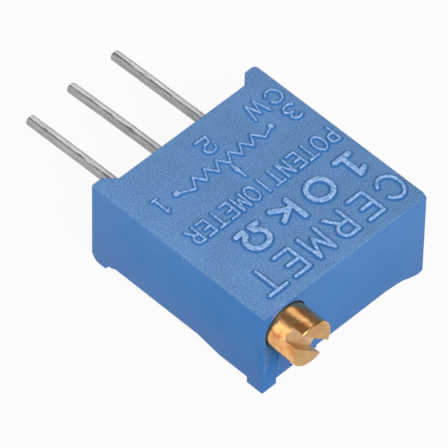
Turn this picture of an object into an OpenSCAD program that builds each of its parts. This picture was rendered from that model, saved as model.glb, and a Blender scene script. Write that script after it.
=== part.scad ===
// Multi-turn trimmer potentiometer, 3/8 inch square, adjusted by a slotted screw at its end.
// It lies on its back with the marked face up. X runs across the three pins, Y runs from the
// screw end to the pins, and Z runs up through the marked face. The origin is on the axis of
// pin 2, in the plane of the board that the two seat feet stand on.

/* [Housing] */
// Width across the row of pins
body_w = 9.53; // [9.4:0.01:9.7]
// Height from the board to the screw face
body_h = 10.03; // [9.9:0.01:10.2]
// Thickness from the back feet to the marked face
body_t = 4.83; // [4.78:0.01:4.9]
// Side walls
wall = 0.65; // [0.6:0.01:0.68]
// Wall under the marked face
marked_wall = 0.63; // [0.58:0.01:0.66]
// Rounding of the two upright edges that lie away from the screw
edge_r = 0.1; // [0.1:0.01:0.3]
// Depth of the sealed recess below the rim of the back
seal_recess = 0.17; // [0.1:0.01:0.25]

/* [Board seat] */
// Height of the two feet that stand on the board
seat_h = 0.5; // [0.4:0.01:0.55]
// Flat width of each seat foot
seat_w = 0.6; // [0.5:0.01:0.8]

/* [Back feet] */
// Height of the back feet below the rim
foot_h = 0.6; // [0.5:0.01:0.65]
// Rounding of the outer edge of a foot
foot_r = 0.28; // [0.2:0.01:0.4]
// Width of the square foot next to the screw, across the screw face
square_foot = 0.85; // [0.7:0.01:1]
// Height of the square foot below its pad
square_foot_h = 0.35; // [0.3:0.01:0.45]
// Drop of the rim below the screw face, past the other three walls
screw_rim = 0.12; // [0.05:0.01:0.2]

/* [Pins] */
// Spacing of the pins
pin_pitch = 2.54; // [2.5:0.01:2.6]
// Diameter of a pin
pin_d = 0.51; // [0.48:0.01:0.54]
// Length of a pin below the board seat
pin_len = 6.1; // [4:0.1:8]
// Thickness of the coined inner end that lies on its pad
coined_t = 0.4; // [0.36:0.01:0.44]
// Width that coining gives the wire
coined_w = 0.6; // [0.56:0.01:0.64]

/* [Adjusting screw] */
// From the side of the housing to the screw axis
screw_from_side = 1.27; // [1.26:0.01:1.3]
// From the marked face to the screw axis
screw_from_face = 1.36; // [1.34:0.01:1.4]
// Diameter of the head
head_d = 2.22; // [2.16:0.01:2.24]
// Length of the head outside the housing
head_len = 1.52; // [1.2:0.01:1.8]
// Width of the driver slot
slot_w = 0.62; // [0.5:0.01:0.7]
// Depth of the driver slot
slot_depth = 0.62; // [0.5:0.01:0.8]
// Turn of the driver slot from the width of the housing
slot_angle = 45; // [0:1:90]
// Diameter of the sealed journal behind the head
journal_d = 1.8; // [1.78:0.01:1.84]

/* [Worm drive] */
// Turns of the screw from one end of travel to the other
screw_turns = 25; // [23:1:25]
// Teeth on the worm wheel
wheel_teeth = 32; // [32:2:32]
// Gap between the wheel's teeth and the side wall
wheel_gap = 0.6; // [0.5:0.01:0.7]
// Pitch diameter of the worm
worm_pitch_d = 1.5; // [1.48:0.01:1.52]
// Thickness of the wheel's rim
rim_t = 1; // [0.8:0.01:1.1]

/* [Element] */
// Gap around the square ceramic substrate
substrate_gap = 0.115; // [0.05:0.005:0.2]
// Thickness of the substrate
substrate_t = 0.64; // [0.6:0.01:0.7]
// Thickness of the printed films
film_t = 0.04; // [0.03:0.01:0.06]
// Middle radius of the resistive track
track_r = 2.3; // [2.2:0.01:2.35]
// Width of the resistive track
track_w = 0.7; // [0.5:0.01:0.8]
// Middle radius of the collector ring
collector_r = 1.05; // [1:0.01:1.1]
// Width of the collector ring
collector_w = 0.5; // [0.4:0.01:0.6]

/* [Hidden] */
$fn = 64;
eps = 0.01;
fit = 0.02;

// Planes through the thickness, from the marked face down
face_z = body_t / 2;
ceiling_z = face_z - marked_wall;
film_top_z = -coined_t / 2;
substrate_top_z = film_top_z - film_t;
substrate_bottom_z = substrate_top_z - substrate_t;
back_z = -body_t / 2;
rim_z = back_z + foot_h;
seal_z = rim_z + seal_recess;

// Planes along the height, from the pins to the screw face
foot_wall_y = -seat_h;
inner_bottom_y = foot_wall_y - wall;
top_y = -body_h;
inner_top_y = top_y + wall;
inner_x = body_w / 2 - wall;
middle_y = (foot_wall_y + top_y) / 2;

// The square foot is a little longer than wide, and stands on a long pad
square_foot_y = 1.1 * square_foot;
pad_run_x = 3.2;
pad_run_y = 2.5;
pad_ramp = 1.25;

// Screw axis and the stations along it
screw_x = screw_from_side - body_w / 2;
screw_z = face_z - screw_from_face;
head_r = head_d / 2;
journal_r = journal_d / 2;
recess_gap = 0.05;
recess_r = head_r + recess_gap;
recess_depth = 0.35;
shoulder_y = top_y + recess_depth;
land_w = 0.5;
gland_w = 0.46;
gland_r = 0.52;
gland_y = shoulder_y + land_w;
bearing_wall = 0.3;
clip_t = 0.3;
clip_half_w = 0.9;
clip_rise = 0.6;
clip_top_z = screw_z + clip_rise;
clip_from_gland = 0.59;
neck_y = gland_y + gland_w + clip_from_gland;
neck_w = clip_t + 3 * fit;
neck_r = 0.52;
boss_lip = 0.2;
boss_end_y = neck_y + neck_w + boss_lip;
tip_r = 0.45;
tip_wall = 0.35;
tip_boss_len = 1.05;
tip_boss_y = inner_bottom_y - tip_boss_len;
tip_gap = 0.2;
tip_end_y = inner_bottom_y - tip_gap;
chamfer = 0.06;

// Worm and wheel
thread_add = 0.15;
thread_ded = 0.21;
thread_w = 0.24;
thread_sink = 0.06;
flank_angle = 20;
worm_turns = 6.5;
worm_root_r = worm_pitch_d / 2 - thread_ded;
worm_tip_r = worm_pitch_d / 2 + thread_add;
wheel_pitch_r = (inner_x - wheel_gap - thread_add - screw_x - worm_pitch_d / 2) / 2;
worm_lead = 2 * PI * wheel_pitch_r / wheel_teeth;
wheel_x = screw_x + worm_pitch_d / 2 + wheel_pitch_r;
wheel_y = middle_y;
rim_top_z = screw_z + rim_t / 2;
rim_bottom_z = screw_z - rim_t / 2;
web_t = 0.45;
hub_r = 1.1;
pivot_r = 0.6;
pivot_short = 0.1;
stop_r = wheel_pitch_r - 0.65;
stop_w = 0.5;
stop_gap = 0.06;
dish_gap = 0.1;

// Angles of travel around the wheel
travel_angle = screw_turns * 360 / wheel_teeth;
lug_angle = 24;
stop_slack_angle = 2.8;
stop_angle = 360 - travel_angle - lug_angle - stop_slack_angle;
track_angle = travel_angle + 12;

// Wiper
wiper_t = 0.09;
wiper_w = 0.5;
finger_w = 0.18;
finger_gap = 0.07;
peg_r = 0.2;
peg_x = 1.1;
peg_land = 0.25;
peg_head = 0.08;
contact_gap = 0.01;

// Pins, pads and the joints between them
notch_gap = 0.005;
tip_round = 0.09;
coined_corner = 0.1;
joint_inset = 0.62;
joint_y = inner_bottom_y - joint_inset;
coined_tail = 0.3;
pin_end_y = joint_y - coined_tail;
solder_r = 0.54;
solder_h = 0.62;
pad_w = 0.9;
lead_w = 0.5;

// Blocks that hold the substrate clear of the solder joints
block_gap = 0.185;
block_w = inner_x - pin_pitch - solder_r - block_gap;
bearing_gap = 0.15;

// Places a shape drawn around Z on the screw axis, with its Z along the screw's Y
module on_screw_axis(y) {
    translate([screw_x, y, screw_z])
        rotate([-90, 0, 0])
            children();
}

module on_wheel_axis(z) {
    translate([wheel_x, wheel_y, z])
        children();
}

module at_pin(i) {
    translate([(i - 2) * pin_pitch, 0, 0])
        children();
}

// Outline of the housing seen on its marked face, with the two seat feet at its lower end
module housing_outline() {
    half = body_w / 2;
    polygon(concat(
        [[-half, 0], [-half, top_y]],
        [for (a = [-90:15:0]) [half - edge_r + edge_r * cos(a), top_y + edge_r + edge_r * sin(a)]],
        [for (a = [0:15:90]) [half - edge_r + edge_r * cos(a), -edge_r + edge_r * sin(a)]],
        [[half - seat_w, 0], [half - seat_w - seat_h, foot_wall_y]],
        [[-half + seat_w + seat_h, foot_wall_y], [-half + seat_w, 0]]
    ));
}

// Side view of a back foot, from its outer face inward and from its tip up, in foot heights
module foot_view(points) {
    last_x = points[len(points) - 1][0];
    polygon(foot_h * concat([[0, 1 + eps]], points, [[last_x, 1 + eps]]));
}

// A foot in the corner at the origin. Seen along Y it is rounded outside and long inside, and
// the other view is given.
module corner_foot(other_view) {
    size = 5 * foot_h;
    rounding = foot_r / foot_h;
    intersection() {
        rotate([90, 0, 0])
            translate([0, 0, -size])
                linear_extrude(size)
                    foot_view(concat(
                        [for (a = [180:10:270]) rounding * [1 + cos(a), 1 + sin(a)]],
                        [[0.6, 0], [0.86, 0.08], [1.48, 0.29], [2.1, 0.57], [2.7, 0.68]],
                        [[3.8, 0.8], [4.6, 1]]
                    ));
        rotate([90, 0, 90])
            linear_extrude(size)
                foot_view(other_view);
    }
}

module back_feet() {
    pad_z = back_z + square_foot_h;
    inner_side = [[1.15, 0], [1.67, 0.73], [2, 0.8], [2.4, 1]];
    // The two feet beside the pins have a slanted and rounded outer corner
    slanted = concat([[0, 0.97], [0.12, 0.68], [0.42, 0.34], [0.75, 0.1], [1, 0]], inner_side);
    translate([-body_w / 2, 0, back_z])
        mirror([0, 1, 0])
            corner_foot(slanted);
    translate([body_w / 2, 0, back_z])
        rotate([0, 0, 180])
            corner_foot(slanted);
    translate([body_w / 2, top_y, back_z])
        mirror([1, 0, 0])
            corner_foot(concat([[0, 0]], inner_side));
    // Deeper rim under the screw face, with the square foot and its long pad
    translate([-body_w / 2, top_y, rim_z - screw_rim])
        cube([body_w, wall, screw_rim + eps]);
    translate([-body_w / 2, top_y, back_z])
        cube([square_foot, square_foot_y, foot_h + eps]);
    translate([-body_w / 2, top_y, pad_z])
        rotate([90, 0, 90])
            linear_extrude(pad_run_x)
                polygon([
                    [0, 0], [pad_run_y, 0],
                    [pad_run_y + pad_ramp, foot_h - square_foot_h], [0, foot_h - square_foot_h]
                ]);
}

// Blocks inside the corners: the ceramic rests on their lower ends
module corner_blocks() {
    depth = ceiling_z - substrate_top_z;
    bearing_w = journal_r + bearing_wall;
    tip_bearing_w = tip_r + tip_wall;
    tip_bearing_z = pin_d / 2 + bearing_gap;
    for (y = [inner_top_y, inner_bottom_y - block_w])
        translate([inner_x - block_w, y, substrate_top_z])
            cube([block_w + eps, block_w, depth]);
    translate([-inner_x - eps, inner_bottom_y - block_w, substrate_top_z])
        cube([block_w, block_w, depth]);
    // Screw bearing beside the screw face, with the bore and the clip slit cut later
    translate([-inner_x - eps, inner_top_y - eps, substrate_top_z])
        cube([screw_x + bearing_w + inner_x, boss_end_y - inner_top_y, depth]);
    // Bearing block of the screw tip, above pin 1
    translate([-inner_x - eps, tip_boss_y, tip_bearing_z])
        cube([screw_x + tip_bearing_w + inner_x, tip_boss_len + eps, ceiling_z - tip_bearing_z]);
}

module screw_bores() {
    on_screw_axis(top_y - eps)
        cylinder(r = recess_r, h = recess_depth + eps);
    on_screw_axis(shoulder_y - eps)
        cylinder(r = journal_r + fit, h = boss_end_y - shoulder_y + 2 * eps);
    on_screw_axis(boss_end_y)
        cylinder(r = worm_tip_r + stop_gap, h = tip_boss_y - boss_end_y);
    on_screw_axis(tip_boss_y - eps)
        cylinder(r = tip_r + fit, h = tip_end_y - tip_boss_y + fit + eps);
    // Slit for the retainer clip, open to the back
    translate([screw_x - clip_half_w - fit, neck_y + fit, substrate_top_z - eps])
        cube([2 * (clip_half_w + fit), clip_t + fit, clip_top_z + fit - substrate_top_z + eps]);
}

// Section of the coined wire, seen along the pin: a flat with its four corners taken off
module coined_outline(gap = 0) {
    side = coined_w / 2 + gap;
    top = coined_t / 2 + gap;
    polygon([
        for (q = [[1, 1], [-1, 1], [-1, -1], [1, -1]])
            let (
                on_side = [q[0] * side, q[1] * (top - coined_corner)],
                on_top = [q[0] * (side - coined_corner), q[1] * top]
            )
                each q[0] * q[1] > 0 ? [on_side, on_top] : [on_top, on_side]
    ]);
}

// Notches for the pins in the lower wall, open to the back
module pin_notches() {
    half = coined_w / 2 + notch_gap;
    for (i = [1:3])
        at_pin(i)
            translate([0, foot_wall_y + eps, 0])
                rotate([90, 0, 0])
                    linear_extrude(wall + 2 * eps) {
                        coined_outline(notch_gap);
                        translate([-half, -body_t])
                            square([2 * half, body_t]);
                    }
}

// Part of a ring around the wheel axis, centred on a direction in degrees
module ring_sector(radius, width, middle, half_angle) {
    reach = 2 * (radius + width);
    intersection() {
        difference() {
            circle(r = radius + width / 2);
            circle(r = radius - width / 2);
        }
        rotate(middle)
            polygon(concat(
                [[0, 0]],
                [for (k = [-4:4]) reach * [cos(k * half_angle / 4), sin(k * half_angle / 4)]]
            ));
    }
}

module housing() {
    color("royalblue") {
        difference() {
            union() {
                difference() {
                    union() {
                        translate([0, 0, rim_z])
                            linear_extrude(body_t - foot_h)
                                housing_outline();
                        intersection() {
                            translate([0, 0, back_z])
                                linear_extrude(body_t)
                                    housing_outline();
                            back_feet();
                        }
                    }
                    translate([-inner_x, inner_top_y, back_z - eps])
                        cube([2 * inner_x, inner_bottom_y - inner_top_y, ceiling_z - back_z + eps]);
                }
                corner_blocks();
                // Pivot of the worm wheel
                on_wheel_axis(rim_bottom_z + pivot_short)
                    cylinder(r = pivot_r, h = ceiling_z - rim_bottom_z);
                // Stop for the lug on the wheel
                on_wheel_axis(rim_top_z + stop_gap)
                    linear_extrude(ceiling_z - rim_top_z)
                        ring_sector(stop_r, stop_w, 90, stop_angle / 2);
            }
            screw_bores();
            pin_notches();
        }
    }
}

module back_seal() {
    tab_half = coined_w / 2 + notch_gap;
    color("steelblue")
        difference() {
            union() {
                translate([-inner_x, inner_top_y, seal_z])
                    cube([2 * inner_x, inner_bottom_y - inner_top_y, substrate_bottom_z - seal_z]);
                for (i = [1:3])
                    at_pin(i)
                        translate([-tab_half, inner_bottom_y - eps, seal_z])
                            cube([2 * tab_half, wall + eps, -seal_z]);
            }
            for (i = [1:3])
                at_pin(i)
                    translate([0, foot_wall_y + eps, 0])
                        rotate([90, 0, 0])
                            linear_extrude(wall + 2 * eps) {
                                coined_outline();
                                translate([-tab_half - eps, 0])
                                    square([2 * (tab_half + eps), coined_t]);
                            }
        }
}

module worm_thread() {
    steps = 24;
    count = worm_turns * steps;
    inner_r = worm_root_r - thread_sink;
    half_root = thread_w / 2 + (worm_pitch_d / 2 - inner_r) * tan(flank_angle);
    half_tip = thread_w / 2 - thread_add * tan(flank_angle);
    section = [[inner_r, -half_root], [worm_tip_r, -half_tip], [worm_tip_r, half_tip], [inner_r, half_root]];
    points = [
        for (i = [0:count], p = section)
            let (a = 360 * (i / steps - worm_turns / 2))
                [p[0] * cos(a), worm_lead * a / 360 + p[1], -p[0] * sin(a)]
    ];
    sides = [
        for (i = [0:count - 1], k = [0:3])
            let (b = 4 * i, n = (k + 1) % 4)
                [b + k, b + n, b + 4 + n, b + 4 + k]
    ];
    caps = [[3, 2, 1, 0], [for (k = [0:3]) 4 * count + k]];
    translate([screw_x, wheel_y, screw_z])
        polyhedron(points, concat(sides, caps), convexity = 10);
}

module adjusting_screw() {
    head_y = top_y - head_len;
    groove_back_y = gland_y + gland_w;
    color("goldenrod") {
        difference() {
            on_screw_axis(0)
                rotate_extrude()
                    polygon([
                        [0, head_y],
                        [head_r - chamfer, head_y], [head_r, head_y + chamfer],
                        [head_r, shoulder_y - fit], [journal_r, shoulder_y - fit],
                        [journal_r, gland_y], [gland_r, gland_y],
                        [gland_r, groove_back_y], [journal_r, groove_back_y],
                        [journal_r, neck_y], [neck_r, neck_y],
                        [neck_r, neck_y + neck_w], [journal_r, neck_y + neck_w],
                        [journal_r, boss_end_y], [worm_root_r, boss_end_y],
                        [worm_root_r, tip_boss_y - tip_gap], [tip_r, tip_boss_y - tip_gap],
                        [tip_r, tip_end_y - chamfer], [tip_r - chamfer, tip_end_y],
                        [0, tip_end_y]
                    ]);
            translate([screw_x, head_y - eps, screw_z])
                rotate([0, slot_angle, 0])
                    translate([-body_w / 2, 0, -slot_w / 2])
                        cube([body_w, slot_depth + eps, slot_w]);
        }
        worm_thread();
    }
}

module o_ring() {
    section_r = (journal_r + fit - gland_r - eps) / 2;
    color("dimgray")
        on_screw_axis(gland_y + gland_w / 2)
            rotate_extrude()
                translate([gland_r + section_r, 0])
                    circle(r = section_r);
}

module retainer_clip() {
    color("lightsteelblue")
        difference() {
            translate([screw_x - clip_half_w, neck_y + 1.5 * fit, substrate_top_z])
                cube([2 * clip_half_w, clip_t, clip_top_z - substrate_top_z]);
            on_screw_axis(neck_y - eps)
                cylinder(r = neck_r + fit, h = neck_w + 2 * eps);
            translate([screw_x - neck_r - fit, neck_y - eps, screw_z])
                cube([2 * (neck_r + fit), neck_w + 2 * eps, body_t]);
        }
}

// Outline of one involute tooth of the wheel, from its root on one side to its root on the other
function involute_point(base_r, t) = base_r * [
    cos(t) + t * PI / 180 * sin(t), sin(t) - t * PI / 180 * cos(t)
];
function involute_at(base_r, r) = sqrt(pow(r / base_r, 2) - 1) * 180 / PI;
function polar(r, a) = r * [cos(a), sin(a)];

module wheel_outline() {
    base_r = wheel_pitch_r * cos(flank_angle);
    tip_r = wheel_pitch_r + thread_add;
    root_r = wheel_pitch_r - thread_ded;
    steps = 4;
    root_angle = 0.4;
    tooth_half = thread_w / wheel_pitch_r / 2 * 180 / PI;
    t_pitch = involute_at(base_r, wheel_pitch_r);
    pitch_point = involute_point(base_r, t_pitch);
    lead_in = atan2(pitch_point[1], pitch_point[0]) + tooth_half;
    t_tip = involute_at(base_r, tip_r);
    flank_points = [
        for (k = [0:steps])
            let (q = involute_point(base_r, t_tip * k / steps))
                [norm(q), atan2(q[1], q[0]) - lead_in]
    ];
    polygon([
        for (i = [0:wheel_teeth - 1])
            let (middle = (i + 0.5) * 360 / wheel_teeth)
                each concat(
                    [polar(root_r, middle - lead_in - root_angle)],
                    [for (q = flank_points) polar(q[0], middle + q[1])],
                    [for (k = [steps:-1:0]) polar(flank_points[k][0], middle - flank_points[k][1])],
                    [polar(root_r, middle + lead_in + root_angle)]
                )
    ]);
}

module worm_wheel() {
    above = ceiling_z - rim_top_z;
    peg_len = wiper_t + peg_head;
    color("ivory")
        difference() {
            union() {
                on_wheel_axis(rim_bottom_z)
                    linear_extrude(rim_t)
                        wheel_outline();
                // Thrust ring and stop lug on the side of the marked face
                on_wheel_axis(rim_top_z - eps)
                    cylinder(r = hub_r, h = above - contact_gap + eps);
                on_wheel_axis(rim_top_z - eps)
                    linear_extrude(above - stop_gap)
                        ring_sector(stop_r, stop_w, -90, lug_angle / 2);
                // Pegs that carry the wiper
                for (side = [-1, 1])
                    on_wheel_axis(rim_bottom_z - peg_len)
                        translate([side * peg_x, 0, 0])
                            cylinder(r = peg_r, h = peg_len + eps);
            }
            on_wheel_axis(rim_bottom_z - 2 * eps)
                cylinder(r = pivot_r + fit, h = body_t);
            // Shallow ring between hub and rim
            on_wheel_axis(rim_bottom_z + web_t)
                difference() {
                    cylinder(r = stop_r - stop_w / 2 - dish_gap, h = body_t);
                    translate([0, 0, -eps])
                        cylinder(r = hub_r, h = body_t + 2 * eps);
                }
        }
}

// Side view of a wiper finger: down from the plate to a blunt tip on the film
module finger_profile(reach) {
    drop = rim_bottom_z - film_top_z - contact_gap;
    polygon([
        [0, 0], [0, -wiper_t], [reach - 2.2 * wiper_t, -drop], [reach + 1.1 * wiper_t, -drop],
        [reach + 1.1 * wiper_t, 1.6 * wiper_t - drop], [reach - 1.3 * wiper_t, 1.1 * wiper_t - drop],
        [0.9 * wiper_t, 0]
    ]);
}

// Fingers side by side, each bent down toward +Y
module fingers(count, reach) {
    pitch = finger_w + finger_gap;
    for (k = [0:count - 1])
        translate([(k - (count - 1) / 2) * pitch - finger_w / 2, 0, 0])
            rotate([90, 0, 90])
                linear_extrude(finger_w)
                    finger_profile(reach);
}

module wiper_contact() {
    plate_w = 2 * (peg_x + peg_r + peg_land);
    color("gold")
        difference() {
            on_wheel_axis(rim_bottom_z) {
                translate([-plate_w / 2, -wiper_w / 2, -wiper_t])
                    cube([plate_w, wiper_w, wiper_t]);
                // Three fingers on the track and two on the collector
                mirror([0, 1, 0])
                    translate([0, wiper_w / 2, 0])
                        fingers(3, track_r - wiper_w / 2);
                translate([0, wiper_w / 2, 0])
                    fingers(2, collector_r - wiper_w / 2);
            }
            for (side = [-1, 1])
                on_wheel_axis(rim_bottom_z - body_t / 2)
                    translate([side * peg_x, 0, 0])
                        cylinder(r = peg_r, h = body_t);
        }
}

module substrate() {
    width = 2 * (inner_x - substrate_gap);
    height = inner_bottom_y - inner_top_y - 2 * substrate_gap;
    color("whitesmoke")
        translate([-width / 2, inner_top_y + substrate_gap, substrate_bottom_z])
            cube([width, height, substrate_t]);
}

// The resistive ring is open towards the pins, where the end pads lead away
module resistive_track() {
    color("darkslategray")
        on_wheel_axis(substrate_top_z)
            linear_extrude(film_t)
                ring_sector(track_r, track_w, -90, track_angle / 2);
}

module collector_track() {
    color("silver")
        translate([0, 0, substrate_top_z])
            linear_extrude(film_t) {
                translate([wheel_x, wheel_y])
                    ring_sector(collector_r, collector_w, 0, 180);
                polygon([
                    [wheel_x - lead_w / 2, wheel_y + collector_r],
                    [wheel_x + lead_w / 2, wheel_y + collector_r],
                    [lead_w / 2, joint_y], [-lead_w / 2, joint_y]
                ]);
                translate([-pad_w / 2, joint_y - pad_w / 2])
                    square(pad_w);
            }
}

// Conductor from one end of the track to its pin; side is -1 for pin 1 and 1 for pin 3
module end_pad(side) {
    end_angle = side * track_angle / 2 - 90;
    inner = track_r - track_w / 2;
    outer = track_r + track_w / 2;
    centre = [wheel_x, wheel_y];
    pad = [side * pin_pitch, joint_y];
    half = pad_w / 2;
    color("silver")
        translate([0, 0, substrate_top_z])
            linear_extrude(film_t)
                polygon([
                    centre + polar(inner, end_angle), centre + polar(outer, end_angle),
                    pad + half * [side, -1], pad + half * [side, 1], pad + half * [-side, 1],
                    centre + polar(inner, end_angle) + polar(lead_w, end_angle + side * 90)
                ]);
}

module end_pad_1() {
    end_pad(-1);
}

module end_pad_3() {
    end_pad(1);
}

// Tinned wire with a rounded tip, coined flat from the housing wall inward
module pin_shape(i) {
    pin_r = pin_d / 2;
    length = pin_len - foot_wall_y;
    tip = [pin_r, length] - [tip_round, tip_round];
    at_pin(i)
        translate([0, foot_wall_y, 0]) {
            rotate([-90, 0, 0])
                rotate_extrude()
                    polygon(concat(
                        [[0, 0], [pin_r, 0]],
                        [for (a = [0:15:90]) tip + polar(tip_round, a)],
                        [[0, length]]
                    ));
            translate([0, eps, 0])
                rotate([90, 0, 0])
                    linear_extrude(foot_wall_y - pin_end_y + eps)
                        coined_outline();
        }
}

module pin(i) {
    color("lightgray")
        pin_shape(i);
}

module pin_1() {
    pin(1);
}

module pin_2() {
    pin(2);
}

module pin_3() {
    pin(3);
}

// Fillet of solder that climbs over the coined end of a pin
module solder(i) {
    color("gainsboro")
        difference() {
            at_pin(i)
                translate([0, joint_y, film_top_z])
                    rotate_extrude()
                        polygon([
                            [0, 0], [solder_r, 0], [0.9 * solder_r, 0.2 * solder_h],
                            [0.72 * solder_r, 0.6 * solder_h], [0.45 * solder_r, 0.9 * solder_h],
                            [0.2 * solder_r, solder_h], [0, solder_h]
                        ]);
            pin_shape(i);
        }
}

module solder_1() {
    solder(1);
}

module solder_2() {
    solder(2);
}

module solder_3() {
    solder(3);
}

housing();
back_seal();
adjusting_screw();
o_ring();
retainer_clip();
worm_wheel();
wiper_contact();
substrate();
resistive_track();
collector_track();
end_pad_1();
end_pad_3();
pin_1();
pin_2();
pin_3();
solder_1();
solder_2();
solder_3();
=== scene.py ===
# %% [markdown]
# # A multi-turn trimmer potentiometer
# A trimmer is a resistor that is set once with a screwdriver. The blue box is a moulded housing
# about 10 mm square. A slotted brass screw at one end turns a worm wheel inside, and three tinned
# pins at the other end go into a circuit board.
# The measured solids are loaded first, as a frame that nothing moves. The lesson then dresses the
# surfaces that show: softened edges, raised marks, a resin seal, and a finish for every part.

# %% Load the measured model
import math

import bmesh
import bpy
from mathutils import Euler, Matrix, Vector


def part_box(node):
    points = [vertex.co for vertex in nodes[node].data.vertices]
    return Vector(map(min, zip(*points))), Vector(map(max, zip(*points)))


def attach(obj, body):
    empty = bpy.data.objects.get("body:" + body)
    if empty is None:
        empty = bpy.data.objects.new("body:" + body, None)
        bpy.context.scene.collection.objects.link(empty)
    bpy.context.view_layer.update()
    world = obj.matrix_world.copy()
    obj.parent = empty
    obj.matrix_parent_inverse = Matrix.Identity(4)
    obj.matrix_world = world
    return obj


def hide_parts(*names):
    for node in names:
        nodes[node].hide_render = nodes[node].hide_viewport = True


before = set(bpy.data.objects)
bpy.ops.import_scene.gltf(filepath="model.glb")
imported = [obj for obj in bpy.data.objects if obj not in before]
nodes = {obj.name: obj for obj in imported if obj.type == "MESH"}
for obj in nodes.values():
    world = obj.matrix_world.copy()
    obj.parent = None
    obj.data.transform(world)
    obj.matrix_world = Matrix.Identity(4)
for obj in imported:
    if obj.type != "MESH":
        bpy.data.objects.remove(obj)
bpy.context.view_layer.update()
MM = 0.001


def in_mm(values):
    return [round(v / MM, 2) for v in values]


# %% [markdown]
# The frame puts the middle pin's axis at the origin. X runs across the pins, Y runs from the screw
# end to the pins, and Z runs up through the marked face. The sizes that the new pieces need are
# read from the solids' boxes, so nothing has to be fitted by hand.

# %% Sizes read from the frame
housing_low, housing_high = (Vector(corner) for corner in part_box("housing"))
screw_low, screw_high = (Vector(corner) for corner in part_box("adjusting_screw"))
seal_outside_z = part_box("back_seal")[0][2]
screw_axis_x = (screw_low.x + screw_high.x) / 2
screw_axis_z = (screw_low.z + screw_high.z) / 2
marked_face_z = housing_high.z
back_z = housing_low.z
screw_face_y = housing_low.y
body_middle = Vector((0, (housing_low.y + housing_high.y) / 2, 0))
print("housing in mm:", in_mm(housing_high - housing_low))

# %% [markdown]
# The camera looks down on the screw corner from a long way off, as a macro lens on a tripod would.
# A long lens keeps the edges of the box almost parallel. The view is given by two angles round the
# object and a small roll, and a turn matrix is built from them.

# %% Camera
view_turn = math.radians(-45.867)
view_height = math.radians(49.570)
view_roll = math.radians(1.225)
view_distance = 277.929 * MM
frame_right, frame_up = -1.425 * MM, 0.166 * MM

camera_turn = (
    Euler((0, 0, view_turn)).to_matrix()
    @ Euler((math.pi / 2 - view_height, 0, 0)).to_matrix()
    @ Euler((0, 0, view_roll)).to_matrix()
)
camera_data = bpy.data.cameras.new("macro_lens")
camera_data.sensor_width = 36
camera_data.lens = 539.7
camera_data.clip_start, camera_data.clip_end = 0.01, 10
camera = bpy.data.objects.new("camera", camera_data)
bpy.context.scene.collection.objects.link(camera)
camera_place = body_middle + camera_turn @ Vector((frame_right, frame_up, view_distance))
camera.matrix_world = Matrix.Translation(camera_place) @ camera_turn.to_4x4()
bpy.context.scene.camera = camera
print("camera at mm:", in_mm(camera_place))

# %% [markdown]
# ## Helpers for finishes
# A colour is picked on a screen as a hex code, but light is added up in linear numbers, so one
# function turns the code into them. A second one adds a node to a material, sets it up and links
# its inputs, which keeps each finish short enough to read as a recipe. A link names a node, and
# its output too where the first one isn't meant. A third one starts a finish: it makes the
# material and sets the numbers that are the same all over it.

# %% Colour and node helpers
def colour(hex_code):
    values = [int(hex_code[k:k + 2], 16) / 255 for k in (1, 3, 5)]
    linear = [v / 12.92 if v <= 0.04045 else ((v + 0.055) / 1.055) ** 2.4 for v in values]
    return (*linear, 1)


def add_node(tree, kind, sockets=None, links=None, **fields):
    node = tree.nodes.new("ShaderNode" + kind)
    for field, value in fields.items():
        setattr(node, field, value)
    for socket, value in (sockets or {}).items():
        node.inputs[socket].default_value = value
    for socket, source in (links or {}).items():
        giver, output = source if isinstance(source, tuple) else (source, 0)
        tree.links.new(giver.outputs[output], node.inputs[socket])
    return node


def new_finish(name, **sockets):
    material = bpy.data.materials.new(name)
    material.use_nodes = True
    shader = material.node_tree.nodes["Principled BSDF"]
    for socket, value in sockets.items():
        shader.inputs[socket.replace("_", " ")].default_value = value
    return material, material.node_tree, shader


print("mid blue in linear numbers:", [round(v, 3) for v in colour("#4f82be")])

# %% [markdown]
# ## Blue moulding compound
# The housing is a glass-filled thermoset, moulded in blue. The mould's floor, which makes the
# marked face, is spark eroded: it prints a fine matte grain that scatters light and looks paler.
# The side walls are drawn along a polished mould, so they come out smoother and deeper in colour.
# A painted shade darkens the ground close round the marks and the marks' lower flanks, standing in
# for the shade that the raised strokes cast, and the marks' crowns get rubbed pale in patches when
# parts slide on each other. Walls and face are painted paler toward the pins, as painted light, and
# the walls are painted darker toward the back, as painted shade from the table they lie on.
# One material covers all four, and the height of a point tells it which kind of surface it is on.
# Noise repeats about once for each unit of its scale, and the scene is in metres, so a pattern's
# scale is one over its size in metres.

# %% Moulded housing plastic
grain_size = 0.055 * MM  # spark-eroded grain is finer, but this is the finest that shows
rub_size = 0.14 * MM
wave_size = 0.5 * MM  # the shallow unevenness of a moulded wall
cloud_size = 1.6 * MM
# Each finish fades in between two heights, given in mm above the marked face.
# The band between the face and the marks is painted shade round the marks and on their lower
# flanks.
HEIGHT_BANDS = {"face": (-0.12, -0.01), "ground": (0.001, 0.012), "marks": (0.05, 0.08)}
FIRST, SECOND, COLOUR_OUT = 6, 7, 2  # a colour Mix node's two colours and its output


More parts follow.
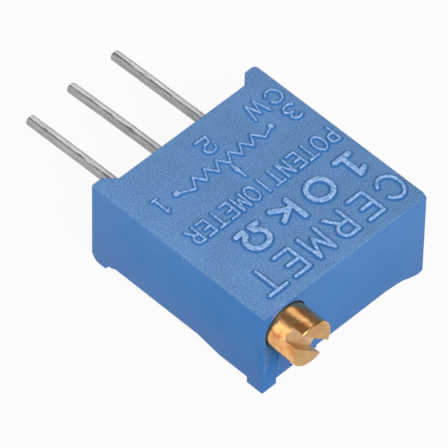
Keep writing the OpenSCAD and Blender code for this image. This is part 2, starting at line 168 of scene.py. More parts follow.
def moulded_thermoset():
    material, tree, shader = new_finish("thermoset_moulded_blue", IOR=1.5, Specular_IOR_Level=0.2)
    place = (add_node(tree, "TexCoord"), "Object")
    parts = add_node(tree, "SeparateXYZ", {}, {0: place})
    height = (parts, "Z")
    reach = {
        name: add_node(
            tree, "MapRange",
            {"From Min": marked_face_z + low * MM, "From Max": marked_face_z + high * MM},
            {0: height},
        )
        for name, (low, high) in HEIGHT_BANDS.items()
    }
    grain = add_node(
        tree, "TexNoise", {"Scale": 1 / grain_size, "Detail": 2, "Roughness": 0.7},
        {"Vector": place},
    )
    cloud = add_node(tree, "TexNoise", {"Scale": 1 / cloud_size, "Detail": 3}, {"Vector": place})
    speckle = add_node(tree, "MapRange", {"From Min": 0.54, "From Max": 0.7}, {0: grain})
    rubs = add_node(tree, "TexNoise", {"Scale": 1 / rub_size, "Detail": 3}, {"Vector": place})
    worn = add_node(tree, "MapRange", {"From Min": 0.4, "From Max": 0.62}, {0: rubs})
    pits = add_node(tree, "MapRange", {"From Min": 0.46, "From Max": 0.3}, {0: grain})
    drift = add_node(tree, "MapRange", {"From Min": 0.35, "From Max": 0.65}, {0: cloud})
    # Painted light and shade: the walls are darker toward the back, as painted shade from the
    # table, and walls and face paler toward the pins, as painted light; a random drift of tone is
    # mixed into both.
    painted_shade_to_back = add_node(tree, "MapRange", {"From Min": back_z, "From Max": marked_face_z}, {0: height})
    painted_light_to_pins = add_node(
        tree, "MapRange", {"From Min": housing_low.y, "From Max": housing_high.y}, {0: (parts, "Y")}
    )
    back_shade_and_drift = add_node(tree, "Mix", {0: 0.25}, {2: painted_shade_to_back, 3: drift})
    side_light_and_drift = add_node(tree, "Mix", {0: 0.35}, {2: back_shade_and_drift, 3: painted_light_to_pins})
    face_light_and_drift = add_node(tree, "Mix", {0: 0.6}, {2: drift, 3: painted_light_to_pins})

    tints = (
        ("side", side_light_and_drift, "#1069b2", "#4b84c3"),
        # painted shade round the marks and on their lower flanks
        ("ground", face_light_and_drift, "#366ea7", "#447cb9"),
        ("face", face_light_and_drift, "#5883b3", "#6593ca"),
        ("marks", worn, "#709cd2", "#a5c2e8"),
    )
    tint = {
        name: add_node(
            tree, "Mix", {FIRST: colour(deep), SECOND: colour(pale)}, {0: factor}, data_type="RGBA"
        )
        for name, factor, deep, pale in tints
    }
    for grains, grain_colour in ((pits, "#3b699e"), (speckle, "#92b2d6")):
        tint["face"] = add_node(
            tree, "Mix", {SECOND: colour(grain_colour)},
            {0: grains, FIRST: (tint["face"], COLOUR_OUT)}, data_type="RGBA",
        )
    tone = tint["side"]
    for name in HEIGHT_BANDS:
        tone = add_node(
            tree, "Mix", {},
            {0: reach[name], FIRST: (tone, COLOUR_OUT), SECOND: (tint[name], COLOUR_OUT)},
            data_type="RGBA",
        )
    tree.links.new(tone.outputs[COLOUR_OUT], shader.inputs["Base Color"])

    matte = add_node(tree, "MapRange", {"To Min": 0.38, "To Max": 0.62}, {0: reach["face"]})
    tree.links.new(matte.outputs[0], shader.inputs["Roughness"])
    relief = add_node(tree, "Math", {}, {0: grain, 1: reach["face"]}, operation="MULTIPLY")
    wave = add_node(tree, "TexNoise", {"Scale": 1 / wave_size}, {"Vector": place})
    skin = add_node(tree, "Bump", {"Strength": 0.15, "Distance": 0.01 * MM}, {"Height": wave})
    bump = add_node(
        tree, "Bump", {"Strength": 0.6, "Distance": 0.02 * MM}, {"Height": relief, "Normal": skin}
    )
    tree.links.new(bump.outputs[0], shader.inputs["Normal"])
    return material


housing_plastic = moulded_thermoset()
print("made", housing_plastic.name)

# %% [markdown]
# ## Copies of the solids
# A solid's mesh is loose triangles, one beside the other. A piece that replaces it starts from a
# copy, whose corners are merged and whose flat triangles are joined into whole faces, so that
# bmesh can bevel, cut or inset it. The copy then rides on the same moving body as its solid.

# %% Copy and finish helpers
def merged_copy(node_name, label):
    mesh = bpy.data.meshes.new(label)
    shape = bmesh.new()
    shape.from_mesh(nodes[node_name].data)
    bmesh.ops.remove_doubles(shape, verts=shape.verts, dist=0.0005 * MM)
    bmesh.ops.dissolve_limit(
        shape, angle_limit=math.radians(1), verts=shape.verts, edges=shape.edges
    )
    return mesh, shape


def finish_piece(mesh, shape, label, body, finish, replaced=None, smooth_below=35):
    shape.to_mesh(mesh)
    shape.free()
    piece = bpy.data.objects.new(label, mesh)
    bpy.context.scene.collection.objects.link(piece)
    mesh.materials.clear()
    mesh.materials.append(finish)
    mesh.shade_smooth()
    mesh.set_sharp_from_angle(angle=math.radians(smooth_below))
    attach(piece, body)
    if replaced:
        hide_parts(replaced)
    print(label, "has", len(mesh.polygons), "faces")
    return piece


def cut_by_plane(shape, point, facing, **options):
    everything = shape.verts[:] + shape.edges[:] + shape.faces[:]
    return bmesh.ops.bisect_plane(
        shape, geom=everything, dist=1e-9, plane_co=point, plane_no=facing, **options
    )


print("solids to choose from:", ", ".join(sorted(nodes)))

# %% [markdown]
# ## The housing with softened edges
# The CAD housing has knife-sharp edges, and no moulding has. Two of its corners are blunter still,
# where the parts knock against each other in the tumbler that takes their flash off. Each of
# these is cut by a slanting plane, and the hole is filled with one face. Then bmesh bevels the
# outer edges. Only edges that lie on the outside are chosen, because the fits inside are out of
# sight, and the recess round the screw stays crisp. Arcs in the outline have very short edges, and
# a clamped bevel would shrink to fit them everywhere, so corners that lie close together are
# merged first and the clamp is off.

# %% Housing shell
edge_soft = 0.06 * MM
closest_corners = 0.013 * MM
screw_recess_radius = 1.3 * MM
BLUNTED = ((housing_low.y, 0.25), (housing_high.y, 0.17))  # end of the +X side, mm off its corner


def round_the_screw(point):
    off_axis = math.hypot(point.x - screw_axis_x, point.z - screw_axis_z)
    return off_axis < screw_recess_radius


def is_outer(point):
    near = 0.002 * MM
    seat_wall_y = housing_high.y - 0.5 * MM
    return (
        abs(abs(point.x) - housing_high.x) < near
        or point.z > housing_high.z - near
        or point.y < housing_low.y + near
        or point.y > seat_wall_y - near
    )


shell_mesh, shell = merged_copy("housing", "housing_moulding")
bmesh.ops.remove_doubles(shell, verts=shell.verts, dist=closest_corners)
for end_y, cut_mm in BLUNTED:
    corner = Vector((housing_high.x, end_y, housing_high.z))
    outward = Vector((1, math.copysign(1, end_y - body_middle.y), 1)).normalized()
    on_cut = corner - outward * cut_mm * MM / math.sqrt(3)
    cut = cut_by_plane(shell, on_cut, outward, clear_outer=True)
    rim = [edge for edge in cut["geom_cut"] if isinstance(edge, bmesh.types.BMEdge)]
    bmesh.ops.contextual_create(shell, geom=rim)
outer_edges = [
    edge for edge in shell.edges
    if len(edge.link_faces) == 2
    and edge.calc_face_angle(0) > math.radians(40)
    and all(is_outer(vert.co) and not round_the_screw(vert.co) for vert in edge.verts)
]
bmesh.ops.bevel(
    shell, geom=outer_edges, offset=edge_soft, offset_type="OFFSET", segments=3, profile=0.5,
    affect="EDGES", clamp_overlap=False, material=-1,
)
print("softened", len(outer_edges), "edges")
finish_piece(shell_mesh, shell, "housing_moulding", "base", housing_plastic, "housing")

# %% [markdown]
# ## Raised marks
# The marks are cut into the mould with a round-nosed engraving tool that follows single lines, so
# every stroke has the same width and round ends. A text object would give printed letter shapes,
# so each sign is drawn here as pen strokes in a box one unit wide and one unit high. A curve with
# a round bevel sweeps each stroke, and its crown is pressed flat.

# %% Pen strokes for each sign
def arc(cx, cy, rx, ry, start, end):
    steps = max(4, round(abs(end - start) / 18))  # about 18 degrees a step
    angles = [math.radians(start + (end - start) * k / steps) for k in range(steps + 1)]
    return [(cx + rx * math.cos(a), cy + ry * math.sin(a)) for a in angles]


SIGNS = {
    "0": [arc(0.5, 0.5, 0.45, 0.5, 90, 450)],
    "1": [[(0.22, 0.84), (0.5, 1), (0.5, 0)], [(0.2, 0), (0.8, 0)]],
    "2": [
        arc(0.52, 0.7, 0.4, 0.3, 170, -20) + arc(0.5, 0.18, 0.36, 0.24, 70, 180)
        + [(0.1, 0), (0.96, 0)]
    ],
    "3": [arc(0.45, 0.76, 0.38, 0.24, 150, -90), arc(0.45, 0.26, 0.47, 0.26, 90, -150)],
    "C": [arc(0.5, 0.5, 0.5, 0.5, 32, 328)],
    "E": [[(0.92, 1), (0.12, 1), (0.12, 0), (0.92, 0)], [(0.12, 0.52), (0.78, 0.52)]],
    "M": [[(0.04, 0), (0.1, 1), (0.5, 0.28), (0.9, 1), (0.96, 0)]],
    "N": [[(0.1, 0), (0.1, 1), (0.9, 0), (0.9, 1)]],
    "I": [[(0.5, 1), (0.5, 0)]],
    "O": [arc(0.5, 0.5, 0.5, 0.5, 90, 450)],
    "P": [
        [(0.12, 0), (0.12, 1), (0.58, 1)], arc(0.58, 0.73, 0.32, 0.27, 90, -90),
        [(0.58, 0.46), (0.12, 0.46)],
    ],
    "R": [
        [(0.12, 0), (0.12, 1), (0.58, 1)], arc(0.58, 0.745, 0.3, 0.255, 90, -90),
        [(0.58, 0.49), (0.12, 0.49)], [(0.52, 0.49), (0.92, 0)],
    ],
    "T": [[(0.02, 1), (0.98, 1)], [(0.5, 1), (0.5, 0)]],
    "W": [[(0, 1), (0.24, 0), (0.5, 0.8), (0.76, 0), (1, 1)]],
    "k": [[(0.14, 1), (0.14, 0)], [(0.8, 0.66), (0.14, 0.24)], [(0.36, 0.38), (0.86, 0)]],
    "ohm": [[(0.06, 0), (0.34, 0)] + arc(0.5, 0.58, 0.42, 0.42, 244, -64) + [(0.66, 0), (0.94, 0)]],
}
print("signs drawn:", " ".join(SIGNS))

# %% [markdown]
# The terminal numbers, the turning direction CW, and the resistor sign with its wiper arrow say
# how the part is wired. The value and the kind of element are plain facts that such a part
# carries. Seen with the pins at the top, every sign stands on its head: its top points toward -Y,
# and a line of signs runs toward -X. A stroke is kept as a list of places with the pen's width at
# each, in millimetres. It is split at each sharp corner, where a swept line would get thin, and
# the round ends of the two halves make a round joint.

# %% From signs to strokes
def split_at_corners(points):
    parts, current = [], [points[0]]
    for before, here, after in zip(points, points[1:], points[2:]):
        current.append(here)
        if (here - before).angle(after - here, 0) > math.radians(35):
            parts.append(current)
            current = [here]
    return parts + [current + [points[-1]]]


def strokes_of(sign, pen, centre_x, centre_y, width, height):
    strokes = []
    for line in SIGNS[sign]:
        points = [
            Vector((centre_x - (u - 0.5) * width, centre_y - (v - 0.5) * height)) for u, v in line
        ]
        strokes += [[(point, pen) for point in part] for part in split_at_corners(points)]
    return strokes


def strokes_of_row(signs, pen, first_x, step, centre_y, width, height):
    places = [(sign, first_x - k * step) for k, sign in enumerate(signs)]
    return [s for sign, x in places for s in strokes_of(sign, pen, x, centre_y, width, height)]


print("an M takes", len(strokes_of("M", 0.1, 0, 0, 1, 1)), "strokes")

# %% Placing the marks
# sign, pen's width, its middle in x and in y, its width and its height, all in mm
SINGLE_SIGNS = (
    ("1", 0.11, -3.55, -2.87, 0.5, 0.86),
    ("2", 0.11, 0.13, -1.84, 0.68, 0.82),
    ("3", 0.11, 3.98, -2.97, 0.64, 0.82),
    ("C", 0.11, 4.03, -1.83, 0.7, 0.76),
    ("W", 0.105, 2.98, -1.85, 0.84, 0.82),
)
# signs, pen's width, first middle in x, step to the next, middle in y, width and height of a sign
SMALL_ROW = ("POTENTIOMETER", 0.11, 4.18, 0.655, -4.98, 0.5, 0.82)
LARGE_ROWS = (
    ("CERMET", 0.17, 3.94, 1.44, -8.7, 1.02, 1.3),
    (("1", "0", "k", "ohm"), 0.26, 3.6, 1.86, -6.77, 1.3, 1.14),
)
small_marks = [stroke for sign in SINGLE_SIGNS for stroke in strokes_of(*sign)]
small_marks += strokes_of_row(*SMALL_ROW)
large_marks = [stroke for row in LARGE_ROWS for stroke in strokes_of_row(*row)]

zigzag_ends = Vector((-2.64, -2.83)), Vector((2.76, -2.93))
zigzag_start, zigzag_step, zigzag_low_high = -1.88, 0.339, (-3.18, -2.65)
zigzag = [
    Vector((zigzag_start + k * zigzag_step, zigzag_low_high[k % 2])) for k in range(13)
]
line_pen, dot_pen = 0.1, 0.27
resistor_line = split_at_corners([zigzag_ends[0], *zigzag, zigzag_ends[1]])
small_marks += [[(point, line_pen) for point in part] for part in resistor_line]
small_marks += [[(end, dot_pen), (end + Vector((0.02, 0)), dot_pen)] for end in zigzag_ends]
arrow_x = 0.1
arrow = (-3.24, 0.06), (-3.62, 0.27), (-3.76, 0.11), (-4.12, 0.11)  # place in y, pen's width
small_marks += [[(Vector((arrow_x, y)), pen) for y, pen in arrow]]
print("strokes:", len(small_marks), "small,", len(large_marks), "large")

# %% [markdown]
# The ends of a stroke are rounded by the radius of the curve's points, which falls to nothing
# along a quarter circle. A curve's mesh is a full round bar, so its top is pressed down to a flat
# crown and its lower half to just under the face. The strokes of a sign overlap, and a Boolean
# union that also looks for overlaps within each object makes one clean skin of them.

# %% Sweeping and joining the strokes
def baked_mesh(thing):
    bpy.context.view_layer.update()
    finished = thing.evaluated_get(bpy.context.evaluated_depsgraph_get())
    return bpy.data.meshes.new_from_object(finished)


root_mm = 0.03  # how far a mark reaches below the face
round_end = [math.radians(a) for a in (25, 50, 72, 88)]


def swept_strokes(strokes, label, crown_mm, steepness, wider_mm=0):
    curve = bpy.data.curves.new(label, "CURVE")
    curve.dimensions, curve.bevel_depth = "3D", 0.5 * MM
    curve.bevel_resolution, curve.use_fill_caps = 4, True
    for stroke in strokes:
        places = [place for place, pen in stroke]
        pens = [pen + wider_mm for place, pen in stroke]
        head = (places[0] - places[1]).normalized() * pens[0] / 2
        tail = (places[-1] - places[-2]).normalized() * pens[-1] / 2
        stations = list(zip(places, pens))
        for a in round_end:
            stations.insert(0, (places[0] + head * math.sin(a), pens[0] * math.cos(a)))
            stations.append((places[-1] + tail * math.sin(a), pens[-1] * math.cos(a)))
        spline = curve.splines.new("POLY")
        spline.points.add(len(stations) - 1)
        for point, (place, pen) in zip(spline.points, stations):
            point.co = (place.x * MM, place.y * MM, 0, 1)
            point.radius = pen
    bars = bpy.data.objects.new(label, curve)
    bpy.context.scene.collection.objects.link(bars)
    mesh = baked_mesh(bars)
    bpy.data.objects.remove(bars)
    for vert in mesh.vertices:
        rise_mm = max(-root_mm, min(crown_mm, vert.co.z / MM * steepness))
        vert.co.z = marked_face_z + rise_mm * MM
    return mesh


def joined_strokes(label, first, second):
    pieces = [bpy.data.objects.new(label, mesh) for mesh in (first, second)]
    for piece in pieces:
        bpy.context.scene.collection.objects.link(piece)
    union = pieces[0].modifiers.new("union", "BOOLEAN")
    union.operation, union.solver, union.use_self = "UNION", "EXACT", True
    union.object = pieces[1]
    mesh = baked_mesh(pieces[0])
    for piece in pieces:
        bpy.data.objects.remove(piece)
    shape = bmesh.new()
    shape.from_mesh(mesh)
    bmesh.ops.remove_doubles(shape, verts=shape.verts, dist=0.0003 * MM)
    print(label, "open edges:", sum(not edge.is_manifold for edge in shape.edges))
    return mesh, shape


print("each round end takes", len(round_end), "steps")

# %% [markdown]
# The small signs are engraved 0.11 mm deep and the large ones a little deeper. The crowns are flat
# and their flanks round, so the shading normals are weighted by the faces' areas: the narrow
# flanks then don't darken the crowns.

# %% Raised marks
mesh, shape = joined_strokes(
    "raised_marks",
    swept_strokes(small_marks, "small_marks", crown_mm=0.11, steepness=2.6),
    swept_strokes(large_marks, "large_marks", crown_mm=0.135, steepness=1.8),
)
raised_marks = finish_piece(mesh, shape, "raised_marks", "base", housing_plastic, smooth_below=60)
weights = raised_marks.modifiers.new("flat_crowns", "WEIGHTED_NORMAL")
weights.keep_sharp = True

# %% [markdown]
# A thin skin round every letter carries painted shade: the darker tint that stands in for the
# shade which the raised marks cast on the face. The same strokes, made wider and only a few
# hundredths of a millimetre high, give it a skin of its own.

# %% Painted shade round the marks
mesh, shape = joined_strokes(
    "mark_shade_skin",
    swept_strokes(small_marks, "small_mark_shade", crown_mm=0.02, steepness=0.1, wider_mm=0.22),
    swept_strokes(large_marks, "large_mark_shade", crown_mm=0.02, steepness=0.08, wider_mm=0.24),
)
mark_shade_skin = finish_piece(mesh, shape, "mark_shade_skin", "base", housing_plastic)

# %% [markdown]
# ## Turned brass
# The screw is free-cutting brass, turned on an automatic lathe. The tool leaves fine rings: round
# the shank, and round the middle on the end face. Both come from one pattern if the noise reads
# the distance from the screw's axis and the place along it. The metal has begun to tarnish: its
# yellow drifts toward copper in patches, and the thin film of oxide takes a little of the mirror
# away, so Metallic falls slightly there. The end face is painted a darker, duller brass than the
# turned skin, as painted shade on what it reflects. The driver slot is sawn afterwards, and its
# matte floor and cheeks are told apart from the rest by their distance from the middle plane of the
# slot; their colour is painted paler, as painted light that lifts the shade inside the slot.

# %% Brass finish
tool_mark = 0.05 * MM  # the feed of the lathe tool for each turn
tarnish_size = 0.42 * MM
slot_turn = math.radians(-45)
slot_half = 0.31 * MM
slot_floor_y = screw_low.y + 0.62 * MM
end_face_depth, cheek_fade, floor_fade = 0.03 * MM, 0.015 * MM, 0.02 * MM


def turned_brass():
    material, tree, shader = new_finish("brass_turned")
    place = (add_node(tree, "TexCoord"), "Object")
    from_axis = add_node(
        tree, "Mapping", {"Location": (-screw_axis_x, 0, -screw_axis_z)}, {"Vector": place}
    )
    parts = add_node(tree, "SeparateXYZ", {}, {0: from_axis})
    across = add_node(tree, "CombineXYZ", {}, {"X": (parts, "X"), "Y": (parts, "Z")})
    radius = add_node(tree, "VectorMath", {}, {0: across}, operation="LENGTH")
    along = add_node(tree, "CombineXYZ", {}, {"X": (radius, "Value"), "Y": (parts, "Y")})
    rings = add_node(tree, "TexNoise", {"Scale": 1 / tool_mark, "Detail": 2}, {"Vector": along})
    patches = add_node(
        tree, "TexNoise", {"Scale": 1 / tarnish_size, "Detail": 5}, {"Vector": place}
    )
    tarnish = add_node(tree, "MapRange", {"From Min": 0.38, "From Max": 0.62}, {0: patches})
    # The second pair of colours is the end face, painted darker as painted shade on its reflection.
    turned_skin, painted_dim_end_face = (
        add_node(
            tree, "Mix", {FIRST: colour(clean), SECOND: colour(tarnished)}, {0: tarnish},
            data_type="RGBA",
        )
        for clean, tarnished in (("#f2bc79", "#d88f56"), ("#ca9d62", "#bf9059"))
    )
    off_end = add_node(
        tree, "MapRange", {"From Min": screw_low.y, "From Max": screw_low.y + end_face_depth},
        {0: (parts, "Y")},
    )
    tint = add_node(
        tree, "Mix", {},
        {0: off_end, FIRST: (painted_dim_end_face, COLOUR_OUT), SECOND: (turned_skin, COLOUR_OUT)},
        data_type="RGBA",
    )

    turned = add_node(tree, "Mapping", {"Rotation": (0, slot_turn, 0)}, {"Vector": from_axis})
    slot_side = add_node(tree, "SeparateXYZ", {}, {0: turned})
    off_middle = add_node(tree, "Math", {}, {0: (slot_side, "Z")}, operation="ABSOLUTE")
    in_width = add_node(
        tree, "MapRange", {"From Min": slot_half + cheek_fade, "From Max": slot_half},
        {0: off_middle},
    )
    in_depth = add_node(
        tree, "MapRange", {"From Min": slot_floor_y + floor_fade, "From Max": slot_floor_y},
        {0: (parts, "Y")},
    )
    sawn_slot_painted_light = add_node(tree, "Math", {}, {0: in_width, 1: in_depth}, operation="MULTIPLY")
    # The slot is painted paler, as painted light that lifts the shade inside it; its matte
    # roughness is real.
    tone = add_node(
        tree, "Mix", {SECOND: colour("#dfbc90")}, {0: sawn_slot_painted_light, FIRST: (tint, COLOUR_OUT)},
        data_type="RGBA",
    )
    tree.links.new(tone.outputs[COLOUR_OUT], shader.inputs["Base Color"])
    film = add_node(tree, "MapRange", {"To Min": 0.98, "To Max": 0.9}, {0: tarnish})
    tree.links.new(film.outputs[0], shader.inputs["Metallic"])
    dull = add_node(tree, "MapRange", {"To Min": 0.13, "To Max": 0.27}, {0: rings})
    matte = add_node(tree, "Math", {1: 0.32}, {0: sawn_slot_painted_light}, operation="MULTIPLY")
    roughness = add_node(tree, "Math", {}, {0: dull, 1: matte}, operation="ADD")
    tree.links.new(roughness.outputs[0], shader.inputs["Roughness"])
    grooves = add_node(tree, "Bump", {"Strength": 0.5, "Distance": 0.004 * MM}, {"Height": rings})
    dents = add_node(
        tree, "Bump", {"Strength": 0.4, "Distance": 0.02 * MM},
        {"Height": patches, "Normal": grooves},
    )
    tree.links.new(dents.outputs[0], shader.inputs["Normal"])
    return material


brass = turned_brass()
print("made", brass.name)

# %% [markdown]
# The lathe and the saw leave burrs that are brushed off, which rounds the edges of the head a
# little. These edges catch a thin line of light, so a copy of the screw gets them bevelled. The
# worm and the groove inside keep the solid's crisp edges.

# %% Screw with brushed edges
brushed_edge = 0.04 * MM

screw_mesh, screw_shape = merged_copy("adjusting_screw", "turned_screw")
head_edges = [
    edge for edge in screw_shape.edges
    if edge.calc_face_angle(0) > math.radians(40)
    and all(vert.co.y < screw_face_y - 0.01 * MM for vert in edge.verts)
]
bmesh.ops.bevel(
    screw_shape, geom=head_edges, offset=brushed_edge, offset_type="OFFSET", segments=3,
    profile=0.5, affect="EDGES", clamp_overlap=True, material=-1,
)
print("brushed", len(head_edges), "edges of the head")
finish_piece(screw_mesh, screw_shape, "turned_screw", "screw", brass, "adjusting_screw")

# %% [markdown]
# ## The other finishes
# The rest are plain materials whose character is a grain. One recipe makes them all: a noise of
# the grain's size, stretched along the way the material was worked, drives the colour, the gloss
# and a shallow relief. Cast epoxy is glossy and gently uneven. Natural nylon is milky and satin.
# Rolled sheet has streaks along its length. Fired alumina is white and dry like a plate's foot,
# and the cermet film on it is nearly black. Printed silver keeps the weave of its screen. Solder
# froze bright, and rubber is dusty and matte. The crystals of alumina, cermet and rolled metal are
# a few thousandths of a millimetre, too fine to show, so theirs are drawn at about 0.05 mm.

# %% A recipe for grained finishes
def grained(
    name, deep, pale, grain_mm, stretch=(1, 1, 1), gloss=(0.4, 0.5), relief_mm=0.003, **sockets
):
    material, tree, shader = new_finish(name, **sockets)
    place = (add_node(tree, "TexCoord"), "Object")
    worked = add_node(tree, "Mapping", {"Scale": stretch}, {"Vector": place})
    grain = add_node(
        tree, "TexNoise", {"Scale": 1 / (grain_mm * MM), "Detail": 4}, {"Vector": worked}
    )
    part = add_node(tree, "MapRange", {"From Min": 0.35, "From Max": 0.65}, {0: grain})
    tint = add_node(
        tree, "Mix", {FIRST: colour(deep), SECOND: colour(pale)}, {0: part}, data_type="RGBA"
    )
    tree.links.new(tint.outputs[COLOUR_OUT], shader.inputs["Base Color"])
    shine = add_node(tree, "MapRange", {"To Min": gloss[0], "To Max": gloss[1]}, {0: part})
    tree.links.new(shine.outputs[0], shader.inputs["Roughness"])
    relief = add_node(
        tree, "Bump", {"Strength": 0.4, "Distance": relief_mm * MM}, {"Height": grain}
    )
    tree.links.new(relief.outputs[0], shader.inputs["Normal"])
    return material


cast_epoxy = grained(
    "epoxy_cast_blue", "#3d6c9f", "#47779f", 0.6, gloss=(0.16, 0.24), relief_mm=0.02, IOR=1.55
)
print("made", cast_epoxy.name)

# %% [markdown]
# The parts inside the housing keep their own meshes, since nothing but their finish differs from
# the real ones. Each gets its finish in place of the plain one that it came with.

# %% Finishes of the parts inside
def refinish(finish, *names):
    for name in names:
        for slot in nodes[name].material_slots:
            slot.material = finish
    print(finish.name, "on", ", ".join(names))


along_x, along_y = (0.06, 1, 1), (1, 0.06, 1)  # the way the sheet was rolled
wheel_nylon = grained("nylon_moulded_natural", "#d9d4c4", "#e6e1d3", 0.25, IOR=1.53)
spring_alloy = grained(
    "copper_alloy_sheet_rolled", "#c79a55", "#d8b06c", 0.05, along_y, (0.22, 0.32), Metallic=1.0
)
alumina = grained("alumina_fired", "#e4e2dc", "#f1efea", 0.06, gloss=(0.5, 0.65), IOR=1.76)
cermet = grained("cermet_film_fired", "#2f3331", "#454a46", 0.05, gloss=(0.35, 0.5), IOR=1.8)
silver_film = grained(
    "silver_film_screen_printed", "#b3b0a8", "#cfccc4", 0.07, gloss=(0.35, 0.5), Metallic=1.0
)
solder_alloy = grained(
    "solder_reflowed", "#b5b6b8", "#cfd0d1", 0.15, gloss=(0.14, 0.3), relief_mm=0.01, Metallic=1.0
)
spring_steel = grained(
    "steel_sheet_bright_rolled", "#8f9296", "#a9acaf", 0.05, along_x, (0.25, 0.35), Metallic=1.0
)
nitrile = grained(
    "nitrile_rubber_moulded", "#1d1e20", "#2a2b2d", 0.08, gloss=(0.6, 0.75), IOR=1.52
)
refinish(wheel_nylon, "worm_wheel")
refinish(spring_alloy, "wiper_contact")
refinish(alumina, "substrate")
refinish(cermet, "resistive_track")
refinish(silver_film, "collector_track", "end_pad_1", "end_pad_3")
refinish(solder_alloy, "solder_1", "solder_2", "solder_3")
refinish(spring_steel, "retainer_clip")
refinish(nitrile, "o_ring")

# %% [markdown]
# ## Leads that have been handled
# The solids' pins are dead straight, as a board's holes want them. Real leads are sheared from a
# strip, so their lengths differ by a tenth of a millimetre or two, and they get bent a little in
# the bag. Each lead here is a copy of its solid, cut into short rings and then bowed toward the
# back, more and more toward its tip.
# The leads are copper wire, drawn through a die, which leaves streaks along it, and then pulled
# through molten tin. The side of each lead that faces +X and up is painted pale, as a painted
# highlight, and Metallic is lower there so that it scatters light as a paint does. The other side
# is painted grey, as painted shade, and a darker line painted between them is a painted reflection
# of the gap between the soft boxes. Before a lead is bowed, every point keeps its distance from the
# middle plane between the two sides as an attribute, so the finish can follow the bent wire.

# %% Tin on the leads
PAINTED_HIGHLIGHT_SIDE = Vector((0.853, 0, 0.522))  # the way the painted highlight faces, round the wire's axis
streak_size = 0.09 * MM


def hot_tinned_wire():
    material, tree, shader = new_finish("copper_wire_hot_tinned")
    place = (add_node(tree, "TexCoord"), "Object")
    across = (add_node(tree, "Attribute", attribute_name="toward_painted_highlight_mm"), "Fac")
    drawn = add_node(tree, "Mapping", {"Scale": (1, 0.12, 1)}, {"Vector": place})
    streaks = add_node(
        tree, "TexNoise", {"Scale": 1 / streak_size, "Detail": 4}, {"Vector": drawn}
    )
    border = add_node(
        tree, "MapRange", {"From Min": 0.3, "From Max": 0.7, "To Min": -0.01, "To Max": 0.07},
        {0: streaks},
    )
    past = add_node(tree, "Math", {}, {0: across, 1: border}, operation="SUBTRACT")
    highlight_side = add_node(tree, "MapRange", {"From Min": -0.01, "From Max": 0.04}, {0: past})
    near = add_node(tree, "Math", {}, {0: past}, operation="ABSOLUTE")
    # a darker line along the middle of each lead, a painted reflection of the gap between the soft
    # boxes
    painted_dark_line = add_node(tree, "MapRange", {"From Min": 0.035, "From Max": 0.005}, {0: near})
    wear = add_node(tree, "MapRange", {"From Min": 0.36, "From Max": 0.66}, {0: streaks})
    # one side painted pale as a painted highlight, the other grey as painted shade
    shade_side_tone, highlight_side_tone = (
        add_node(
            tree, "Mix", {FIRST: colour(plain), SECOND: colour(worn)}, {0: wear}, data_type="RGBA"
        )
        for plain, worn in (("#999999", "#b2b2b2"), ("#f4f4f4", "#d8d8d9"))
    )
    painted_sides = add_node(
        tree, "Mix", {},
        {0: highlight_side, FIRST: (shade_side_tone, COLOUR_OUT), SECOND: (highlight_side_tone, COLOUR_OUT)},
        data_type="RGBA",
    )
    tone = add_node(
        tree, "Mix", {SECOND: colour("#8a8a8c")}, {0: painted_dark_line, FIRST: (painted_sides, COLOUR_OUT)},
        data_type="RGBA",
    )
    tree.links.new(tone.outputs[COLOUR_OUT], shader.inputs["Base Color"])
    # Metallic is lower on the painted highlight side
    highlight_metallic = add_node(tree, "MapRange", {"To Min": 0.9, "To Max": 0.5}, {0: highlight_side})
    tree.links.new(highlight_metallic.outputs[0], shader.inputs["Metallic"])
    shine = add_node(tree, "MapRange", {"To Min": 0.46, "To Max": 0.36}, {0: highlight_side})
    tree.links.new(shine.outputs[0], shader.inputs["Roughness"])
    relief = add_node(tree, "Bump", {"Strength": 0.4, "Distance": 0.006 * MM}, {"Height": streaks})
    tree.links.new(relief.outputs[0], shader.inputs["Normal"])
    return material


tinned_wire = hot_tinned_wire()
print("made", tinned_wire.name)

# %% Bowed leads
# how far each tip is bent toward the back, and how much longer the lead is, in mm
LEADS = {"pin_1": (0.15, -0.10), "pin_2": (0.22, 0.06), "pin_3": (0.13, 0.03)}
bow_steps = 12


def bowed_lead(name, bow_mm, longer_mm):
    mesh, shape = merged_copy(name, name + "_lead")
    low, high = (Vector(corner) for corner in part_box(name))
    middle = (low + high) / 2
    tip_y = high.y
    for k in range(1, bow_steps):
        cut_by_plane(shape, (0, tip_y * k / bow_steps, 0), (0, 1, 0))
    toward_highlight = shape.verts.layers.float.new("toward_painted_highlight_mm")
    for vert in shape.verts:
        vert[toward_highlight] = (vert.co - middle).dot(PAINTED_HIGHLIGHT_SIDE) / MM
        part = max(0, vert.co.y / tip_y)
        vert.co.z -= bow_mm * MM * part ** 1.5
        vert.co.y += longer_mm * MM * part
    finish_piece(mesh, shape, name + "_lead", "base", tinned_wire, name, smooth_below=40)


for name, bend in LEADS.items():
    bowed_lead(name, *bend)

# %% [markdown]
# ## The cast seal
# The back is closed with epoxy that is poured in and cured. Liquid resin wets the walls and climbs
# them, so its surface ends in a small hollow curve, a meniscus, all the way round. A copy of the
# seal gets it by insetting its outer face three times and drawing each ring out toward the rim.

# %% Seal with a meniscus
MENISCUS = ((0.045, 0.05), (0.035, 0.025), (0.03, 0.01))  # step inward and climb, in mm

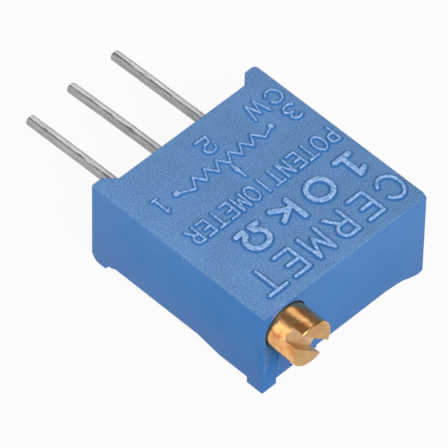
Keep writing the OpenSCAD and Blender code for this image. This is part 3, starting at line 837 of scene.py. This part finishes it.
seal_mesh, seal = merged_copy("back_seal", "cast_seal")
seal.normal_update()
nearly_outside_z = seal_outside_z + 0.01 * MM
open_side = [
    face for face in seal.faces
    if face.normal.z < -0.9 and face.calc_center_median().z < nearly_outside_z
]
for step_mm, climb_mm in MENISCUS:
    ring = bmesh.ops.inset_region(
        seal, faces=open_side, thickness=step_mm * MM, use_boundary=True, use_even_offset=True
    )["faces"]
    inside = {vert for face in open_side for vert in face.verts}
    for vert in {vert for face in ring for vert in face.verts} - inside:
        vert.co.z -= climb_mm * MM
print("meniscus climbs", sum(climb for step, climb in MENISCUS), "mm")
finish_piece(seal_mesh, seal, "cast_seal", "base", cast_epoxy, "back_seal")

# %% [markdown]
# ## Floor and light
# The part lies on its back feet on a plain white table. A Light Path node tells which rays come
# from the camera, a mirror or a glass. For these the table glows almost fully, so that it reads as
# white paper, and the small rest still takes the part's shadow. What bounces off the table onto
# the part is no more than the light that plain pale paper sends back.

# %% Floor
glow_share = 0.93
floor_half_m = 3.0


def white_paper():
    material = bpy.data.materials.new("paper_white_matte")
    material.use_nodes = True
    tree = material.node_tree
    tree.nodes.clear()
    seen = add_node(tree, "LightPath")
    mirrored = add_node(
        tree, "Math", {}, {0: (seen, "Is Glossy Ray"), 1: (seen, "Is Transmission Ray")},
        operation="MAXIMUM",
    )
    shown = add_node(
        tree, "Math", {}, {0: (seen, "Is Camera Ray"), 1: mirrored}, operation="MAXIMUM"
    )
    share = add_node(tree, "Math", {1: glow_share}, {0: shown}, operation="MULTIPLY")
    paper = add_node(tree, "BsdfDiffuse", {"Color": colour("#d6d6d6")})
    glow = add_node(tree, "Emission", {"Color": colour("#ffffff"), "Strength": 1.0})
    blend = add_node(tree, "MixShader", {}, {0: share, 1: paper, 2: glow})
    add_node(tree, "OutputMaterial", {}, {"Surface": blend})
    return material


floor_mesh = bpy.data.meshes.new("floor")
floor_shape = bmesh.new()
bmesh.ops.create_grid(
    floor_shape, x_segments=1, y_segments=1, size=floor_half_m,
    matrix=Matrix.Translation((0, 0, back_z)),
)
floor_shape.to_mesh(floor_mesh)
floor_shape.free()
floor = bpy.data.objects.new("floor", floor_mesh)
bpy.context.scene.collection.objects.link(floor)
floor_mesh.materials.append(white_paper())
print("floor at", round(back_z / MM, 3), "mm")

# %% [markdown]
# The light is that of a small product tent. Two soft boxes stand behind the part, left and right,
# and leave a darker gap between them that gives the brass and the tinned wire their dark streak.
# A third, large one hangs above on the near side, where round metal with its axis along Y never
# mirrors it, and brings the blue up to its plain colour. A small fourth one low in front puts a
# thin line of light on the rim of the screw's head.

# %% Lamps and sky
# direction from the part, distance and width in mm, power in watts
LAMPS = {
    "soft_box_left": ((-0.77, 0.45, 0.45), 100, 90, 0.032),
    "soft_box_right": ((0.44, 0.45, 0.78), 100, 52, 0.0083),
    "soft_box_near": ((-0.27, -0.63, 0.73), 400, 230, 1.44),
    "soft_box_front": ((0.16, -0.80, 0.41), 90, 72, 0.0078),
}
sky_level = 0.18


def soft_box(label, direction, distance_mm, size_mm, watts):
    data = bpy.data.lights.new(label, "AREA")
    data.shape, data.size, data.energy = "SQUARE", size_mm * MM, watts
    lamp = bpy.data.objects.new(label, data)
    toward = Vector(direction).normalized()
    turn = toward.to_track_quat("Z", "Y").to_matrix().to_4x4()
    lamp.matrix_world = Matrix.Translation(body_middle + toward * distance_mm * MM) @ turn
    bpy.context.scene.collection.objects.link(lamp)
    print(label, "gives", watts, "W from", distance_mm, "mm")


for label, settings in LAMPS.items():
    soft_box(label, *settings)

sky = bpy.data.worlds.new("tent")
sky.use_nodes = True
background = sky.node_tree.nodes["Background"]
background.inputs["Color"].default_value = colour("#ffffff")
background.inputs["Strength"].default_value = sky_level
bpy.context.scene.world = sky
bpy.context.scene.view_settings.view_transform = "Standard"
